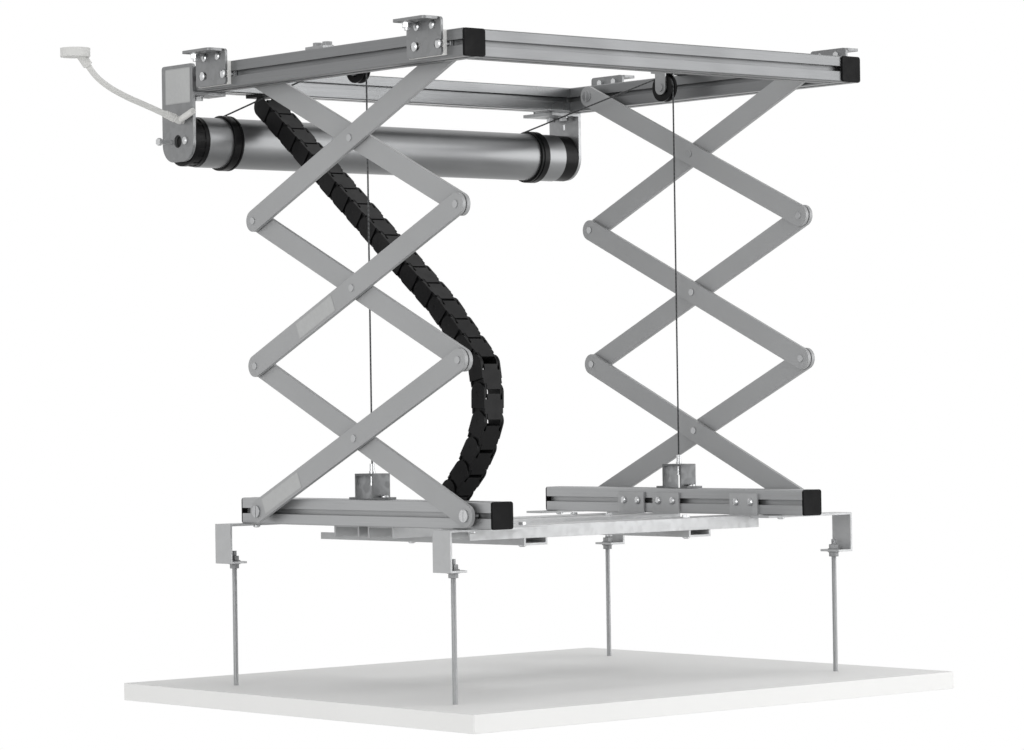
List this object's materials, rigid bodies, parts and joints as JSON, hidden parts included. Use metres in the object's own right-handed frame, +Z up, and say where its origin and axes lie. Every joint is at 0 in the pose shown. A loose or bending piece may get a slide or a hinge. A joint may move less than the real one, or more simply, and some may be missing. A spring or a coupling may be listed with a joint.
{
  "type": "projector lift",
  "caption": "Ceiling projector lift: scissor arms carry a platform under a slotted-rail frame, wire ropes on a motor drum raise it, and threaded rods hang a ceiling panel below.",
  "frame": {"origin": "on the ceiling plane, at the middle of the four ceiling bolt slots in the bracket flanges", "axes": "+Z up towards the ceiling, +Y from the front beam back to the motor drum, +X from the motor side to the right"},
  "size_m": [0.8737, 0.646, 0.7546],
  "materials": {
    "rail": "anodised, satin",
    "arm": "grey powder coat, satin",
    "sheet_dark": "grey powder coat, satin",
    "sheet": "galvanised sheet",
    "sheet_pale": "light grey powder coat",
    "cap": "black moulded",
    "white_plastic": "white moulded",
    "zinc": "zinc plated",
    "tube": "grey satin tube",
    "motor": "dark grey",
    "wire": "wire rope",
    "chain": "black moulded",
    "panel": "white coated board",
    "cord": "white cable sheath"
  },
  "bodies": {
    "top_frame": {"left_top_rail": "rail", "right_top_rail": "rail", "front_beam": "rail", "back_beam": "rail", "rail_end_caps": "cap", "ceiling_brackets": "sheet_dark", "bracket_spacers": "white_plastic", "frame_bolts": "zinc", "ceiling_bolts": "zinc", "top_pivot_bolts": "zinc", "motor_bracket": "sheet_dark", "idler_bracket": "sheet", "tubular_motor": "motor", "pulley_brackets": "sheet", "rope_runs": "wire", "rope_drops": "wire", "chain_top_anchor": "cap", "cord_relief": "white_plastic", "power_cord": "cord", "ceiling_cord_fitting": "white_plastic"},
    "drum": {"drum_tube": "tube", "drive_crown": "cap", "drum_idler_plug": "cap", "rope_collars": "cap"},
    "pulley_left": {"left_pulley": "cap"},
    "pulley_right": {"right_pulley": "cap"},
    "left_upper_outer": {"left_upper_outer_arm": "arm"},
    "left_upper_inner": {"left_upper_inner_arm": "arm"},
    "left_middle_outer": {"left_middle_outer_arm": "arm"},
    "left_middle_inner": {"left_middle_inner_arm": "arm"},
    "left_lower_outer": {"left_lower_outer_arm": "arm"},
    "left_lower_inner": {"left_lower_inner_arm": "arm"},
    "right_upper_outer": {"right_upper_outer_arm": "arm"},
    "right_upper_inner": {"right_upper_inner_arm": "arm"},
    "right_middle_outer": {"right_middle_outer_arm": "arm"},
    "right_middle_inner": {"right_middle_inner_arm": "arm"},
    "right_lower_outer": {"right_lower_outer_arm": "arm"},
    "right_lower_inner": {"right_lower_inner_arm": "arm"},
    "platform": {"left_bottom_rail": "rail", "right_bottom_rail": "rail", "bottom_end_caps": "cap", "bottom_pivot_bolts": "zinc", "rope_anchors": "sheet", "rope_ferrules": "zinc", "cross_bars": "sheet_pale", "mounting_strips": "sheet_pale", "platform_screws": "zinc", "panel_hangers": "sheet_pale", "threaded_rods": "zinc", "rod_nuts": "zinc", "ceiling_panel": "panel", "chain_lower_run": "chain"},
    "chain_upper_run_body": {"chain_upper_run": "chain"},
    "chain_short_run_body": {"chain_short_run": "chain"},
    "chain_link_1_body": {"chain_link_1": "chain"},
    "chain_link_2_body": {"chain_link_2": "chain"},
    "chain_link_3_body": {"chain_link_3": "chain"},
    "chain_link_4_body": {"chain_link_4": "chain"},
    "chain_link_pair_body": {"chain_link_pair": "chain"},
    "chain_lower_bend_body": {"chain_lower_bend": "chain"}
  },
  "joints": [
    {"name": "lift_fold", "type": "hinge", "parent": "top_frame", "child": "left_upper_outer", "pos_m": [-0.26, -0.206, -0.029], "axis": [1, 0, 0], "range_deg": [0, 19.5], "deforming": ["rope_drops"]},
    {"name": "left_upper_inner_pivot", "type": "hinge", "parent": "left_upper_outer", "child": "left_upper_inner", "pos_m": [-0.26, -0.02219, -0.11277], "axis": [1, 0, 0], "range_deg": [-39.5, 0]},
    {"name": "left_middle_outer_pivot", "type": "hinge", "parent": "left_upper_inner", "child": "left_middle_outer", "pos_m": [-0.26, -0.206, -0.19654], "axis": [1, 0, 0], "range_deg": [0, 39.5]},
    {"name": "left_middle_inner_pivot", "type": "hinge", "parent": "left_middle_outer", "child": "left_middle_inner", "pos_m": [-0.26, -0.02219, -0.2803], "axis": [1, 0, 0], "range_deg": [-39.5, 0]},
    {"name": "left_lower_outer_pivot", "type": "hinge", "parent": "left_middle_inner", "child": "left_lower_outer", "pos_m": [-0.26, -0.206, -0.36407], "axis": [1, 0, 0], "range_deg": [0, 39.5]},
    {"name": "left_lower_inner_pivot", "type": "hinge", "parent": "left_lower_outer", "child": "left_lower_inner", "pos_m": [-0.26, -0.02219, -0.44784], "axis": [1, 0, 0], "range_deg": [-39.5, 0]},
    {"name": "platform_pivot", "type": "hinge", "parent": "left_lower_inner", "child": "platform", "pos_m": [-0.255, -0.206, -0.53161], "axis": [1, 0, 0], "range_deg": [0, 20]},
    {"name": "right_upper_outer_pivot", "type": "hinge", "parent": "top_frame", "child": "right_upper_outer", "pos_m": [0.26, -0.206, -0.029], "axis": [1, 0, 0], "range_deg": [0, 20]},
    {"name": "right_upper_inner_pivot", "type": "hinge", "parent": "right_upper_outer", "child": "right_upper_inner", "pos_m": [0.26, -0.02219, -0.11277], "axis": [1, 0, 0], "range_deg": [-39.5, 0]},
    {"name": "right_middle_outer_pivot", "type": "hinge", "parent": "right_upper_inner", "child": "right_middle_outer", "pos_m": [0.26, -0.206, -0.19654], "axis": [1, 0, 0], "range_deg": [0, 39.5]},
    {"name": "right_middle_inner_pivot", "type": "hinge", "parent": "right_middle_outer", "child": "right_middle_inner", "pos_m": [0.26, -0.02219, -0.2803], "axis": [1, 0, 0], "range_deg": [-39.5, 0]},
    {"name": "right_lower_outer_pivot", "type": "hinge", "parent": "right_middle_inner", "child": "right_lower_outer", "pos_m": [0.26, -0.206, -0.36407], "axis": [1, 0, 0], "range_deg": [0, 39.5]},
    {"name": "right_lower_inner_pivot", "type": "hinge", "parent": "right_lower_outer", "child": "right_lower_inner", "pos_m": [0.26, -0.02219, -0.44784], "axis": [1, 0, 0], "range_deg": [-39.5, 0]},
    {"name": "drum_spin", "type": "hinge", "parent": "top_frame", "child": "drum", "pos_m": [0, 0.254, -0.1], "axis": [1, 0, 0], "range_deg": [-701.85, 0]},
    {"name": "left_pulley_spin", "type": "hinge", "parent": "top_frame", "child": "pulley_left", "pos_m": [-0.235, -0.0015, -0.032], "axis": [1, 0, 0], "range_deg": [-1570.62, 0]},
    {"name": "right_pulley_spin", "type": "hinge", "parent": "top_frame", "child": "pulley_right", "pos_m": [0.235, -0.0015, -0.032], "axis": [1, 0, 0], "range_deg": [-1570.62, 0]},
    {"name": "chain_upper_run_pivot", "type": "hinge", "parent": "top_frame", "child": "chain_upper_run_body", "pos_m": [-0.2007, 0.214, -0.0586], "axis": [1, 0, 0], "range_deg": [-39.96, 0]},
    {"name": "chain_short_run_pivot", "type": "hinge", "parent": "chain_upper_run_body", "child": "chain_short_run_body", "pos_m": [-0.2007, -0.10572, -0.30393], "axis": [1, 0, 0], "range_deg": [0, 36]},
    {"name": "chain_link_1_pivot", "type": "hinge", "parent": "chain_short_run_body", "child": "chain_link_1_body", "pos_m": [-0.2007, -0.17262, -0.36853], "axis": [1, 0, 0], "range_deg": [0, 26.63]},
    {"name": "chain_link_2_pivot", "type": "hinge", "parent": "chain_link_1_body", "child": "chain_link_2_body", "pos_m": [-0.2007, -0.178, -0.39906], "axis": [1, 0, 0], "range_deg": [0, 51.76]},
    {"name": "chain_link_3_pivot", "type": "hinge", "parent": "chain_link_2_body", "child": "chain_link_3_body", "pos_m": [-0.2007, -0.17746, -0.43006], "axis": [1, 0, 0], "range_deg": [0, 13.06]},
    {"name": "chain_link_4_pivot", "type": "hinge", "parent": "chain_link_3_body", "child": "chain_link_4_body", "pos_m": [-0.2007, -0.16485, -0.45838], "axis": [1, 0, 0], "range_deg": [-21.21, 0]},
    {"name": "chain_link_pair_pivot", "type": "hinge", "parent": "chain_link_4_body", "child": "chain_link_pair_body", "pos_m": [-0.2007, -0.14707, -0.48377], "axis": [1, 0, 0], "range_deg": [-21.7, 0]},
    {"name": "chain_lower_bend_pivot", "type": "hinge", "parent": "chain_link_pair_body", "child": "chain_lower_bend_body", "pos_m": [-0.2007, -0.1021, -0.52645], "axis": [1, 0, 0], "range_deg": [-44.2, 0]}
  ],
  "couplings": [
    {"joint": "left_upper_inner_pivot", "follows": "lift_fold", "ratio": -2},
    {"joint": "left_middle_outer_pivot", "follows": "lift_fold", "ratio": 2},
    {"joint": "left_middle_inner_pivot", "follows": "lift_fold", "ratio": -2},
    {"joint": "left_lower_outer_pivot", "follows": "lift_fold", "ratio": 2},
    {"joint": "left_lower_inner_pivot", "follows": "lift_fold", "ratio": -2},
    {"joint": "platform_pivot", "follows": "lift_fold", "ratio": 1},
    {"joint": "right_upper_outer_pivot", "follows": "lift_fold", "ratio": 1},
    {"joint": "right_upper_inner_pivot", "follows": "lift_fold", "ratio": -2},
    {"joint": "right_middle_outer_pivot", "follows": "lift_fold", "ratio": 2},
    {"joint": "right_middle_inner_pivot", "follows": "lift_fold", "ratio": -2},
    {"joint": "right_lower_outer_pivot", "follows": "lift_fold", "ratio": 2},
    {"joint": "right_lower_inner_pivot", "follows": "lift_fold", "ratio": -2},
    {"joint": "drum_spin", "follows": "lift_fold", "ratio": -35.89},
    {"joint": "left_pulley_spin", "follows": "lift_fold", "ratio": -80.442},
    {"joint": "right_pulley_spin", "follows": "lift_fold", "ratio": -80.442},
    {"joint": "chain_upper_run_pivot", "follows": "lift_fold", "ratio": -2.0236},
    {"joint": "chain_short_run_pivot", "follows": "lift_fold", "ratio": 1.8205},
    {"joint": "chain_link_1_pivot", "follows": "lift_fold", "ratio": 1.34},
    {"joint": "chain_link_2_pivot", "follows": "lift_fold", "ratio": 2.6287},
    {"joint": "chain_link_3_pivot", "follows": "lift_fold", "ratio": 0.6441},
    {"joint": "chain_link_4_pivot", "follows": "lift_fold", "ratio": -1.0621},
    {"joint": "chain_link_pair_pivot", "follows": "lift_fold", "ratio": -1.0872},
    {"joint": "chain_lower_bend_pivot", "follows": "lift_fold", "ratio": -2.241}
  ]
}
